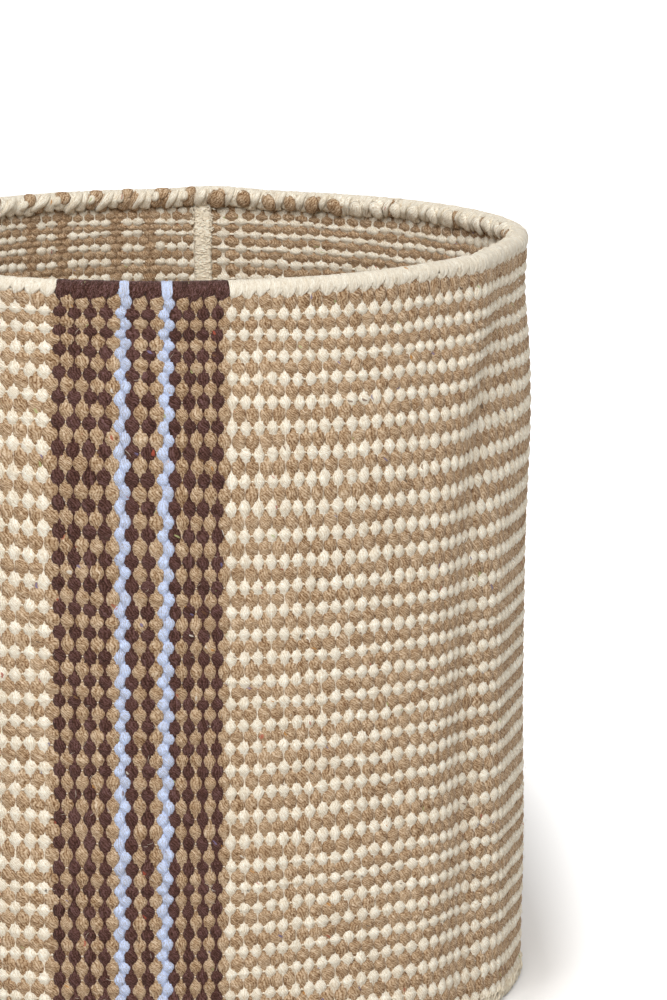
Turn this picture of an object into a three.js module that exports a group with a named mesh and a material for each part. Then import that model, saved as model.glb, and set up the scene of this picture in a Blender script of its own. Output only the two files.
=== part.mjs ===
// A round storage basket of thick striped cloth: a soft wall whose warp yarns run from the floor to
// a rim rolled over a cord, sewn to a round of cloth at the bottom.
// Millimetres, +Z up. The origin is on the floor under the basket's middle, and the stripe faces -Y.
import * as THREE from 'three';
import { mergeVertices } from 'three/addons/utils/BufferGeometryUtils.js';

// Overall sizes
const HEIGHT = 330;
const RADIUS = 150;
const WALL = 5.2;
const BASE_THICKNESS = 5;

// Room left between pieces that are sewn or pressed together
const CLEARANCE = 0.3;

// The rolled rim: warps turned over a cord, their ends tucked in below it on the inside
const CORD_DIAMETER = 5;
const RIM_COVER = 2.4;
const TUCK_THICKNESS = 2.6;
const TUCK_HEIGHT = 9;

// The whipped lower edge, which the wall stands on and which rings the bottom cloth
const BINDING_HEIGHT = 8;
const BINDING_DEPTH = 6;
const BINDING_PROUD = 0.6;
const BINDING_ROUND = 1.5;

// Where the middle of the stripe faces, in degrees from -Y towards +X
const STRIPE_ANGLE = -7.5;

// The wall is soft: a neck under the rim, a belly below it and a low swell near the floor
const NECK_BELOW_RIM = 22;
const NECK_REACH = 18;
const NECK_IN = 1.6;
const BELLY_BELOW_RIM = 80;
const BELLY_REACH = 38;
const BELLY_OUT = 1.6;
const LOW_SWELL_HEIGHT = 62;
const LOW_SWELL_REACH = 40;
const LOW_SWELL_OUT = 1;

// Its section is a little three-sided and four-sided, one way at the floor and the other at the rim
const THREE_SIDED = 1.4;
const FOUR_SIDED = 1.3;

// One upright crease to the right of the stripe, deepest low down, and a soft corner beside it
const CREASE_ANGLE = 53;
const CREASE_LEAN = 8;
const CREASE_REACH = 6;
const CREASE_DEPTH = 3.4;
const CREASE_HEIGHT = 120;
const CREASE_RISE = 130;
const CORNER_ANGLE = 10;
const CORNER_REACH = 9;
const CORNER_OUT = 1.4;
const CORNER_HEIGHT = 90;
const CORNER_RISE = 90;

// How finely the round is faceted, in warps, and the rest in pieces
const WARPS_PER_FACET = 4;
const WALL_FACETS = 8;
const ARC_FACETS = 9;
const CORD_SIDES = 8;

const CREAM = 0xdccfb8;
const NATURAL = 0xb9a587;
const BROWN = 0x6b5648;
const BLUE = 0xa9bcc8;

// The bands of warps in order round the basket, from the stripe's left edge towards +X
const BANDS = [
  { name: 'brown_warps_left', warps: 8, color: BROWN },
  { name: 'blue_warps_left', warps: 2, color: BLUE },
  { name: 'brown_warps_middle', warps: 4, color: BROWN },
  { name: 'blue_warps_right', warps: 2, color: BLUE },
  { name: 'brown_warps_right', warps: 8, color: BROWN },
  { name: 'field_warps_right', warps: 142, color: NATURAL },
  { name: 'side_seam', warps: 2, color: CREAM },
  { name: 'pinstripe_warps', warps: 60, color: NATURAL },
  { name: 'field_warps_left', warps: 76, color: NATURAL },
];
const STRIPE_BANDS = 5;

const totalWarps = (bands) => bands.reduce((sum, band) => sum + band.warps, 0);
const WARP_ANGLE = (2 * Math.PI) / totalWarps(BANDS);
const STRIPE_START = THREE.MathUtils.degToRad(STRIPE_ANGLE)
  - (totalWarps(BANDS.slice(0, STRIPE_BANDS)) / 2) * WARP_ANGLE;

// The rim is a tube whose outside is level with the wall's
const RIM_TUBE = CORD_DIAMETER / 2 + CLEARANCE + RIM_COVER;
const RIM_HOLLOW = CORD_DIAMETER / 2 + CLEARANCE;
const RIM_CENTRE = HEIGHT - RIM_TUBE;
const WALL_FOOT = BINDING_HEIGHT + CLEARANCE;

// A smooth hump of height 1 at its centre, nearly gone at twice its reach
const hump = (distance, reach) => Math.exp(-((distance / reach) ** 2));

// How far the middle of a fold at this angle is from the given direction, in degrees
function degreesFrom(angle, direction) {
  const turn = THREE.MathUtils.radToDeg(angle) - direction;
  return THREE.MathUtils.euclideanModulo(turn + 180, 360) - 180;
}

// The outside of the wall at an angle from -Y towards +X and a height above the floor
function outsideRadius(angle, height) {
  const rise = (2 * height) / HEIGHT - 1;
  const neck = -NECK_IN * hump(height - (HEIGHT - NECK_BELOW_RIM), NECK_REACH);
  const belly = BELLY_OUT * hump(height - (HEIGHT - BELLY_BELOW_RIM), BELLY_REACH);
  const swell = LOW_SWELL_OUT * hump(height - LOW_SWELL_HEIGHT, LOW_SWELL_REACH);
  const sides = rise * (THREE_SIDED * Math.sin(3 * angle) + FOUR_SIDED * Math.sin(4 * angle));
  const creaseMiddle = CREASE_ANGLE + (CREASE_LEAN * (height - CREASE_HEIGHT)) / HEIGHT;
  const crease = -CREASE_DEPTH * hump(degreesFrom(angle, creaseMiddle), CREASE_REACH)
    * hump(height - CREASE_HEIGHT, CREASE_RISE);
  const corner = CORNER_OUT * hump(degreesFrom(angle, CORNER_ANGLE), CORNER_REACH)
    * hump(height - CORNER_HEIGHT, CORNER_RISE);
  return RADIUS + neck + belly + swell + sides + crease + corner;
}

// The point at an angle and a height that lies a depth inside the wall's outside
function clothPoint(angle, height, depth) {
  const radius = outsideRadius(angle, height) - depth;
  return new THREE.Vector3(radius * Math.sin(angle), -radius * Math.cos(angle), height);
}

const warpAngle = (warp) => STRIPE_START + warp * WARP_ANGLE;

// Angles of the facets' edges from one warp to another
function facetAngles(firstWarp, lastWarp) {
  const count = Math.ceil((lastWarp - firstWarp) / WARPS_PER_FACET);
  const step = (lastWarp - firstWarp) / count;
  return Array.from({ length: count + 1 }, (_, i) => warpAngle(firstWarp + i * step));
}

// Pulls the two ends of a run of facets back by half the clearance
function withEndsDrawnIn(angles) {
  const trim = CLEARANCE / 2 / RADIUS;
  const drawn = [...angles];
  drawn[0] += trim;
  drawn[drawn.length - 1] -= trim;
  return drawn;
}

// Points along an arc, both ends among them, angles in degrees
function arc(centreDepth, centreHeight, radius, from, to, facets) {
  return Array.from({ length: facets + 1 }, (_, i) => {
    const turn = THREE.MathUtils.degToRad(from + ((to - from) * i) / facets);
    return new THREE.Vector2(centreDepth + radius * Math.cos(turn), centreHeight + radius * Math.sin(turn));
  });
}

// Points up or down one face of the wall
function climb(depth, from, to, facets) {
  return Array.from({ length: facets + 1 }, (_, i) =>
    new THREE.Vector2(depth, from + ((to - from) * i) / facets));
}

// Sections are drawn with the depth into the wall as x and the height as y
const HOOK_TIP = -55;

function wallSection() {
  const shoulder = RIM_CENTRE - RIM_HOLLOW;
  return new THREE.Shape([
    ...climb(0, WALL_FOOT, RIM_CENTRE - RIM_TUBE, WALL_FACETS),
    ...arc(RIM_TUBE, RIM_CENTRE, RIM_TUBE, 180, HOOK_TIP, ARC_FACETS),
    ...arc(RIM_TUBE, RIM_CENTRE, RIM_HOLLOW, HOOK_TIP, 180, ARC_FACETS),
    new THREE.Vector2(RIM_COVER, shoulder),
    ...climb(WALL, shoulder, WALL_FOOT, WALL_FACETS),
  ]);
}

function cordSection() {
  const round = arc(RIM_TUBE, RIM_CENTRE, CORD_DIAMETER / 2, 0, 360, CORD_SIDES);
  return new THREE.Shape(round.slice(0, -1));
}

function tuckSection() {
  const outside = WALL + CLEARANCE;
  const top = RIM_CENTRE + RIM_TUBE * Math.sin(THREE.MathUtils.degToRad(HOOK_TIP)) - CLEARANCE;
  const inside = outside + TUCK_THICKNESS;
  return new THREE.Shape([
    new THREE.Vector2(outside, top - TUCK_HEIGHT),
    new THREE.Vector2(outside, top),
    new THREE.Vector2(inside, top),
    new THREE.Vector2(inside, top - TUCK_HEIGHT + TUCK_THICKNESS),
  ]);
}

function bindingSection() {
  const inside = BINDING_DEPTH - BINDING_PROUD;
  return new THREE.Shape([
    new THREE.Vector2(BINDING_ROUND - BINDING_PROUD, 0),
    new THREE.Vector2(-BINDING_PROUD, BINDING_ROUND),
    new THREE.Vector2(-BINDING_PROUD, BINDING_HEIGHT - BINDING_ROUND),
    new THREE.Vector2(BINDING_ROUND - BINDING_PROUD, BINDING_HEIGHT),
    new THREE.Vector2(inside, BINDING_HEIGHT),
    new THREE.Vector2(inside, 0),
  ]);
}

// Merges the vertices that faces share and gives the solid its normals
function weld(geometry) {
  geometry.deleteAttribute('uv');
  geometry.deleteAttribute('normal');
  const welded = mergeVertices(geometry);
  welded.computeVertexNormals();
  return welded;
}

// A section led round the basket through the given angles, closed at both ends
function ledRound(section, angles) {
  const steps = angles.length - 1;
  const geometry = new THREE.ExtrudeGeometry(section, { depth: steps, steps, bevelEnabled: false });
  const position = geometry.getAttribute('position');
  for (let i = 0; i < position.count; i += 1) {
    const angle = angles[Math.round(position.getZ(i))];
    const point = clothPoint(angle, position.getY(i), position.getX(i));
    position.setXYZ(i, point.x, point.y, point.z);
  }
  return weld(geometry);
}

// The bottom cloth fills the ring of the binding and lies flat on the floor
function bottomCloth(angles) {
  const rim = BINDING_DEPTH - BINDING_PROUD + CLEARANCE;
  const outline = angles.slice(0, -1).map((angle) => {
    const point = clothPoint(angle, 0, rim);
    return new THREE.Vector2(point.x, point.y);
  });
  const options = { depth: BASE_THICKNESS, steps: 1, bevelEnabled: false };
  return weld(new THREE.ExtrudeGeometry(new THREE.Shape(outline), options));
}

function clothMaterial(color) {
  return new THREE.MeshStandardMaterial({ color, roughness: 0.95, metalness: 0 });
}

function piece(name, geometry, color) {
  const mesh = new THREE.Mesh(geometry, clothMaterial(color));
  mesh.name = name;
  return mesh;
}

const basket = new THREE.Group();
basket.name = 'basket';

// The wall, band by band, each with its share of the rolled rim
const roundAngles = [];
let warp = 0;
for (const band of BANDS) {
  const angles = facetAngles(warp, warp + band.warps);
  basket.add(piece(band.name, ledRound(wallSection(), withEndsDrawnIn(angles)), band.color));
  roundAngles.push(...angles.slice(roundAngles.length === 0 ? 0 : 1));
  warp += band.warps;
}

// What runs the whole way round, its two ends meeting at the stripe's left edge
const ringAngles = withEndsDrawnIn(roundAngles);
basket.add(piece('rim_cord', ledRound(cordSection(), ringAngles), CREAM));
basket.add(piece('turned_in_ends', ledRound(tuckSection(), ringAngles), CREAM));
basket.add(piece('base_binding', ledRound(bindingSection(), ringAngles), CREAM));
basket.add(piece('base_cloth', bottomCloth(roundAngles), NATURAL));

export default basket;
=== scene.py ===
"""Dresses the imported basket: every warp yarn of its thick striped cloth, the corded rim with its
turned-in ends, the side seam, the woven bottom and the frayed lower edge, all of dyed cotton.
"""

import logging
import math
from dataclasses import asdict, dataclass, field
from enum import Enum
from types import SimpleNamespace
from typing import Mapping, Optional, Sequence, Union

import bpy
import numpy as np
from mathutils import Matrix, Vector


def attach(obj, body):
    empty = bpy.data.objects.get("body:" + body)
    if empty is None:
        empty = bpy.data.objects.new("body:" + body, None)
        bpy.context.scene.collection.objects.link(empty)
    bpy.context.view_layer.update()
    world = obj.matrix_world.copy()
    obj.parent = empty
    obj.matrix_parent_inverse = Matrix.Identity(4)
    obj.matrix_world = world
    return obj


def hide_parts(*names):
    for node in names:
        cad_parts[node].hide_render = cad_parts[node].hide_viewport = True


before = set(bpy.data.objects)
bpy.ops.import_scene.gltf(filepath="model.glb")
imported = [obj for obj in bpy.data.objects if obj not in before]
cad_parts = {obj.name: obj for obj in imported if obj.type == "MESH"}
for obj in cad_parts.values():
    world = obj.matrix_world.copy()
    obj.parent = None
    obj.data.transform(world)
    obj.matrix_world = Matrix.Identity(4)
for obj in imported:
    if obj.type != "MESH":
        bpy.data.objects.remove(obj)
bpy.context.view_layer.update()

LOG = logging.getLogger("basket")
MM = 0.001
PATTERN_UV = "YarnUV"
BAKE_UV = "OFBake"
Tree = bpy.types.NodeTree
Socket = bpy.types.NodeSocket
Material = bpy.types.Material


def linear(red: float, green: float, blue: float) -> tuple[float, float, float, float]:
    """Gives a display colour of 0 to 255 as the scene-linear colour that sockets take.

    Args:
        red: Red part.
        green: Green part.
        blue: Blue part.

    Returns:
        The linear colour, opaque.
    """
    parts = [value / 255 for value in (red, green, blue)]
    curved = [p / 12.92 if p <= 0.04045 else ((p + 0.055) / 1.055) ** 2.4 for p in parts]
    return (curved[0], curved[1], curved[2], 1.0)


class Dye(Enum):
    """The yarns' colours: how each is dyed and how mottled its fibres are. The rim's cream is a darker copy
    of CREAM, painted shade, and the cream of the seam and the lower edge a lighter copy, painted light.
    """

    CREAM = (linear(246, 235, 214), 0.19)
    # The cream warps where they turn over the rim, a little darker than CREAM: painted shade that tones down
    # the light on the rim's top.
    RIM_CREAM_SHADED = (linear(237, 227, 208), 0.14)
    # A lighter copy of CREAM for the seam and the frayed lower edge: painted light that offsets the shade
    # falling on them.
    RAW = (linear(252, 241, 219), 0.17)
    TAN = (linear(182, 152, 119), 0.56)
    BROWN = (linear(85, 55, 47), 0.84)
    BLUE = (linear(200, 210, 235), 0.22)

    @property
    def color(self) -> tuple[float, float, float, float]:
        """Scene-linear colour of the dyed yarn."""
        return self.value[0]

    @property
    def mottle(self) -> float:
        """How strongly light and dark fibres are mixed in it, as a share of its tone."""
        return self.value[1]


class Field:
    """A number that varies over a mesh or a surface; sums with it become Math nodes."""

    def __init__(self, tree: Tree, socket: Socket) -> None:
        """Keeps the output socket that carries the number, and its node tree."""
        self.tree = tree
        self.socket = socket

    def __add__(self, other: "Number") -> "Field":
        """Sum."""
        return reckon("ADD", self, other)

    def __radd__(self, other: "Number") -> "Field":
        """Sum."""
        return reckon("ADD", other, self)

    def __sub__(self, other: "Number") -> "Field":
        """Difference."""
        return reckon("SUBTRACT", self, other)

    def __rsub__(self, other: "Number") -> "Field":
        """Difference."""
        return reckon("SUBTRACT", other, self)

    def __mul__(self, other: "Number") -> "Field":
        """Product."""
        return reckon("MULTIPLY", self, other)

    def __rmul__(self, other: "Number") -> "Field":
        """Product."""
        return reckon("MULTIPLY", other, self)

    def __truediv__(self, other: "Number") -> "Field":
        """Quotient."""
        return reckon("DIVIDE", self, other)

    def __neg__(self) -> "Field":
        """The number with its sign turned."""
        return reckon("MULTIPLY", self, -1.0)

    def of(self, operation: str, *others: "Number") -> "Field":
        """Any other operation of the Math node, on this number first."""
        return reckon(operation, self, *others)

    def held(self, low: "Number", high: "Number") -> "Field":
        """The number, kept between a lowest and a highest one."""
        return self.of("MAXIMUM", low).of("MINIMUM", high)


Number = Union[Field, float]
Inputs = Mapping[Union[str, int], object]


def add_node(tree: Tree, kind: str, inputs: Optional[Inputs] = None, **settings: object) -> bpy.types.Node:
    """Adds a node with its settings and whatever its inputs get.

    Args:
        tree: Node tree to write it in.
        kind: Type of the node.
        inputs: For each input, by name or place, a field, a socket or a plain value.
        settings: Further settings of the node.

    Returns:
        The node.
    """
    node = tree.nodes.new(kind)
    for key, value in settings.items():
        setattr(node, key, value)
    for key, value in (inputs or {}).items():
        value = value.socket if isinstance(value, Field) else value
        if isinstance(value, Socket):
            tree.links.new(value, node.inputs[key])
        else:
            node.inputs[key].default_value = value
    return node


def tree_of(parts: Sequence[Number]) -> Tree:
    """The node tree that some numbers are written in, of which one varies at least."""
    return next(part.tree for part in parts if isinstance(part, Field))


def reckon(operation: str, *values: Number) -> Field:
    """Writes one sum as a Math node.

    Args:
        operation: Name of the Math node's operation.
        values: The numbers, in order.

    Returns:
        The result.
    """
    tree = tree_of(values)
    node = add_node(tree, "ShaderNodeMath", dict(enumerate(values)), operation=operation)
    return Field(tree, node.outputs[0])


def hump(distance: Field, reach: float) -> Field:
    """A smooth hump of height 1 at distance 0, nearly gone at twice its reach."""
    share = distance / reach
    return (-(share * share)).of("EXPONENT")


def gather(*parts: Number) -> Socket:
    """Joins up to three numbers, of which one varies at least, into a vector."""
    return add_node(tree_of(parts), "ShaderNodeCombineXYZ", dict(enumerate(parts))).outputs[0]


def split(tree: Tree, vector: Union[Field, Socket]) -> tuple[Field, Field, Field]:
    """Takes a vector apart into its X, Y and Z."""
    x, y, z = add_node(tree, "ShaderNodeSeparateXYZ", {0: vector}).outputs
    return Field(tree, x), Field(tree, y), Field(tree, z)


def noise(parts: Sequence[Number], detail: float = 1.0) -> Field:
    """Smooth noise about 0, mostly within half a unit either way.

    Args:
        parts: Up to three coordinates, in units of the noise's grain.
        detail: Octaves of finer noise.

    Returns:
        The noise.
    """
    tree = tree_of(parts)
    inputs = {"Vector": gather(*parts), "Scale": 1.0, "Detail": detail}
    return Field(tree, add_node(tree, "ShaderNodeTexNoise", inputs, noise_dimensions="3D").outputs[0]) - 0.5


def scatter(parts: Sequence[Number]) -> Field:
    """A random number from 0 to 1 that is the same wherever the coordinates are.

    Args:
        parts: Up to three coordinates.

    Returns:
        The random number.
    """
    tree = tree_of(parts)
    node = add_node(tree, "ShaderNodeTexWhiteNoise", {"Vector": gather(*parts)}, noise_dimensions="3D")
    return Field(tree, node.outputs["Value"])


def clear_nodes(owner: Union[Material, bpy.types.World]) -> Tree:
    """Gives a material or the world an empty node tree."""
    owner.use_nodes = True
    owner.node_tree.nodes.clear()
    return owner.node_tree


@dataclass(frozen=True)
class Swell:
    """A soft swell of the wall or, where it goes inwards, a hollow.

    It has a height in millimetres, a direction in degrees, from -Y towards +X or from the ridge, or
    both. A swell without a rise runs from the floor to the rim, and one without a reach all round.
    """

    out: float
    level: float = 0.0
    rise: float = 0.0
    direction: float = 0.0
    reach: float = 0.0
    from_ridge: bool = False


@dataclass(frozen=True)
class Cloth:
    """Sizes of the cloth and the basket's soft form, in millimetres."""

    height: float = 330.0
    radius: float = 150.0
    wall: float = 5.2
    start_angle: float = -21.6
    twist: float = 0.72
    stripe_warps: int = 24
    seam_warp: int = 152
    grouped_warp: int = 154
    left_warp: int = 226
    warps: int = 298
    places: tuple[tuple[int, float], ...] = (
        (0, 0.0), (8, 10.42), (10, 12.19), (14, 17.48), (16, 19.25), (24, 28.38), (38, 43.8), (61, 71.9),
        (121, 152.9), (134, 171.1), (148, 189.1), (152, 195.7), (154, 198.2), (226, 270.2), (274, 328.0),
        (298, 360.0))
    three_sided: float = -1.4
    four_sided: float = 1.3
    ridge_angle: float = 44.0
    ridge_lean: float = 0.0125
    ridge_swing: float = 11.0
    ridge_bend: float = 190.0
    ridge_bend_reach: float = 115.0
    swells: tuple[Swell, ...] = (
        Swell(-1.6, level=308.0, rise=18.0),  # neck
        Swell(1.6, level=250.0, rise=38.0),  # belly
        Swell(1.0, level=62.0, rise=40.0),  # low swell
        Swell(1.8, reach=6.0, from_ridge=True),  # ridge
        Swell(1.8, level=120.0, rise=130.0, direction=64.0, reach=6.0),  # second ridge
        Swell(-3.8, level=120.0, rise=130.0, direction=9.5, reach=5.5, from_ridge=True),  # crease
        Swell(-2.0, level=120.0, rise=130.0, direction=76.0, reach=10.0),  # low flat
        Swell(-7.5, level=266.0, rise=42.0, direction=12.5, reach=10.5, from_ridge=True),  # high flat
        Swell(1.7, direction=94.0, reach=14.0),  # heel
        Swell(1.4, level=90.0, rise=90.0, direction=10.0, reach=9.0),  # corner
        Swell(1.2, level=262.0, rise=55.0, direction=57.0, reach=13.0))  # shoulder

    @property
    def pitch(self) -> float:
        """Usual distance from one warp to the next, in millimetres."""
        return 2 * math.pi * self.radius / self.warps

    def edge(self, warp: float) -> float:
        """Angle at a warp's left edge, from -Y towards +X.

        Args:
            warp: Number of the warp from the stripe's left edge, fractions inside it.

        Returns:
            The angle in radians.
        """
        numbers, degrees = zip(*self.places)
        turns = math.floor(warp / self.warps)
        placed = float(np.interp(warp - turns * self.warps, numbers, degrees))
        return math.radians(self.start_angle + placed + 360.0 * turns)

    def room(self, warp: float) -> float:
        """How much of the round a warp has, in millimetres."""
        return (self.edge(warp + 1) - self.edge(warp)) * self.radius

    def edge_field(self, warp: Field) -> Field:
        """The same angle as a sum of Math nodes, for the whole round once.

        Args:
            warp: Number of the warp, fractions inside it.

        Returns:
            The angle in radians.
        """
        angle = warp * 0.0 + math.radians(self.start_angle)
        slope = 0.0
        for (first, start), (last, end) in zip(self.places, self.places[1:]):
            steeper = math.radians((end - start) / (last - first)) - slope
            angle = angle + (warp - float(first)).of("MAXIMUM", 0.0) * steeper
            slope += steeper
        return angle

    def outside(self, angle: float, height: float) -> float:
        """Radius of the wall's outside.

        Args:
            angle: From -Y towards +X, in radians.
            height: Above the floor, in millimetres.

        Returns:
            The radius in millimetres.
        """
        tilt = 2 * height / self.height - 1
        sides = self.three_sided * math.sin(3 * angle) + self.four_sided * math.sin(4 * angle)
        turned = max(0.0, min(1.0, (height - self.ridge_bend) / self.ridge_bend_reach))
        ridge = self.ridge_angle + self.ridge_lean * height + self.ridge_swing * turned ** 2
        radius = self.radius + tilt * sides
        for swell in self.swells:
            away = math.degrees(angle) - swell.direction - (ridge if swell.from_ridge else 0.0)
            away = (away + 180) % 360 - 180
            steps = (away / swell.reach) ** 2 if swell.reach else 0.0
            steps += ((height - swell.level) / swell.rise) ** 2 if swell.rise else 0.0
            radius += swell.out * math.exp(-steps)
        return radius

    def outside_field(self, angle: Field, height: Field) -> Field:
        """The same radius as a sum of Math nodes.

        Args:
            angle: From -Y towards +X, in radians.
            height: Above the floor, in millimetres.

        Returns:
            The radius in millimetres.
        """
        tilt = height * (2 / self.height) - 1.0
        sides = (angle * 3.0).of("SINE") * self.three_sided + (angle * 4.0).of("SINE") * self.four_sided
        turned = ((height - self.ridge_bend) / self.ridge_bend_reach).held(0.0, 1.0)
        ridge = height * self.ridge_lean + turned * turned * self.ridge_swing + self.ridge_angle
        degrees = angle * math.degrees(1.0)
        radius = tilt * sides + self.radius
        for swell in self.swells:
            part: Number = swell.out
            if swell.reach:
                away = (degrees - ridge if swell.from_ridge else degrees) - swell.direction
                part = hump(away.of("WRAP", -180.0, 180.0), swell.reach) * part
            if swell.rise:
                part = hump(height - swell.level, swell.rise) * part
            radius = radius + part
        return radius


CLOTH = Cloth()


def stripe_dye(warp: int) -> Dye:
    """Dye of a warp of the stripe, counted from the stripe's left edge.

    Args:
        warp: Number of the warp.

    Returns:
        Its dye.
    """
    if warp in (8, 9, 14, 15):
        return Dye.BLUE
    return Dye.BROWN if warp % 2 == 0 else Dye.TAN


@dataclass(frozen=True)
class Beating:
    """How closely the weft is beaten up: the height of each pick, looser in some parts."""

    first_height: float = 316.75
    pick: float = 4.71
    looser: tuple[tuple[float, float, float], ...] = (
        (-8.0, 0.0, 10.8), (12.0, 14.3, 8.8), (5.0, 45.8, 4.7), (-2.7, 47.6, 2.0))
    back_gain: float = 1.3
    back_start: float = 2.6
    back_picks: float = 80.0
    top_stretch: float = 1.5
    last_pick: float = 62.0
    tilt: tuple[float, float, float] = (-0.003, -0.102, 0.102)
    back_edge: float = 1.6
    floor_fade: float = 30.0
    rim_fade: float = 22.0
    heave: float = 3.2

    def heave_field(self, warp: Field, pick: Field, seed: Field) -> Field:
        """How far a pick strays up and down from its level on its way round, in millimetres."""
        return noise((warp * 0.16, pick * 0.32, seed + 21.0), 2.0) * self.heave

    def height_field(self, pick: Field, angle: Field) -> Field:
        """Height of a pick, counted down from the first one under the rim.

        Args:
            pick: Number of the pick, fractions between picks.
            angle: From -Y towards +X, in radians.

        Returns:
            Height above the floor in millimetres.
        """
        height = self.first_height - pick * self.pick
        for gain, middle, reach in self.looser:
            start = math.tanh(-middle / reach)
            height = height - (((pick - middle) / reach).of("TANH") - start) * gain
        back = (angle.of("COSINE") * -self.back_edge).held(0.0, 1.0)
        depth = pick.of("MAXIMUM", 0.0)
        packed = (pick * self.back_gain - self.back_start) * (-(depth / self.back_picks)).of("EXPONENT")
        height = height + packed * back * (1.0 - depth / self.last_pick)
        height = height + (-pick - 0.2).of("MAXIMUM", 0.0) * (1.0 - back) * self.top_stretch
        level = height / CLOTH.height - 0.5
        slope = (level * self.tilt[2] + self.tilt[1]) * level + self.tilt[0]
        near_floor = (height / self.floor_fade).held(0.0, 1.0)
        near_rim = ((CLOTH.height - 4.0 - height) / self.rim_fade).held(0.0, 1.0)
        front = angle.of("COSINE").of("MULTIPLY_ADD", 0.5, 0.5)
        return height + slope * angle.of("SINE") * CLOTH.radius * near_floor * near_rim * front


BEATING = Beating()


class Surface(Enum):
    """What a yarn lies on."""

    WALL = "wall"
    RIM = "rim"


@dataclass(frozen=True)
class RimForm:
    """The rolled rim's section, in millimetres: the round that the warps are turned over."""

    core: float = 3.9
    top: float = 330.7
    cover: float = 1.0
    rise: tuple[float, float, float] = (1.1, -0.6, 0.9)
    seam_angle: float = 173.0
    seam_reach: float = 7.0
    seam_rise: float = 1.5
    spill: float = 0.58
    furthest_spill: float = 3.0

    @property
    def centre_height(self) -> float:
        """Height of the middle of the round."""
        return self.top - self.core - self.cover

    @property
    def centre_depth(self) -> float:
        """How far the middle of the round lies inside the wall's outside."""
        return self.core + self.cover - 0.1

    @property
    def quarter(self) -> float:
        """Length of a quarter of the round."""
        return self.core * math.pi / 2

    def section_field(self, down: Field, lift: Field) -> tuple[Field, Field]:
        """Where a point of the rim lies in its section.

        Args:
            down: Way from the top of the round, inwards positive, outwards negative.
            lift: Height above the round.

        Returns:
            Depth into the wall and height above the floor.
        """
        turn = math.pi / 2 - (down / self.core)
        held = turn.held(0.0, math.pi)
        straight = (turn - held).of("ABSOLUTE") * self.core
        reach = lift + self.core
        depth = held.of("COSINE") * reach + self.centre_depth
        inward = (down - self.quarter).of("MAXIMUM", 0.0)
        depth = depth - (inward * self.spill).of("MINIMUM", self.furthest_spill)
        height = held.of("SINE") * reach + self.centre_height - straight
        return depth, height

    def rise_field(self, angle: Field) -> Field:
        """How much higher the rim stands at an angle than at its plain height.

        Args:
            angle: From -Y towards +X, in radians.

        Returns:
            The rise in millimetres.
        """
        even, front, right = self.rise
        seam = (angle * math.degrees(1.0) - self.seam_angle).of("WRAP", -180.0, 180.0)
        leaning = angle.of("COSINE") * front + angle.of("SINE") * right
        return leaning + hump(seam, self.seam_reach) * self.seam_rise + even


RIM = RimForm()


def place_on_basket(angle: Field, height: Field, depth: Field) -> Socket:
    """Turns cloth coordinates into a place in metres.

    Args:
        angle: From -Y towards +X, in radians.
        height: Above the floor, in millimetres.
        depth: Into the wall from its outside, in millimetres.

    Returns:
        Socket with the position.
    """
    radius = (CLOTH.outside_field(angle, height) - depth) * MM
    turned = angle + height * (math.radians(CLOTH.twist) / CLOTH.height)
    return gather(radius * turned.of("SINE"), -(radius * turned.of("COSINE")), height * MM)


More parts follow.
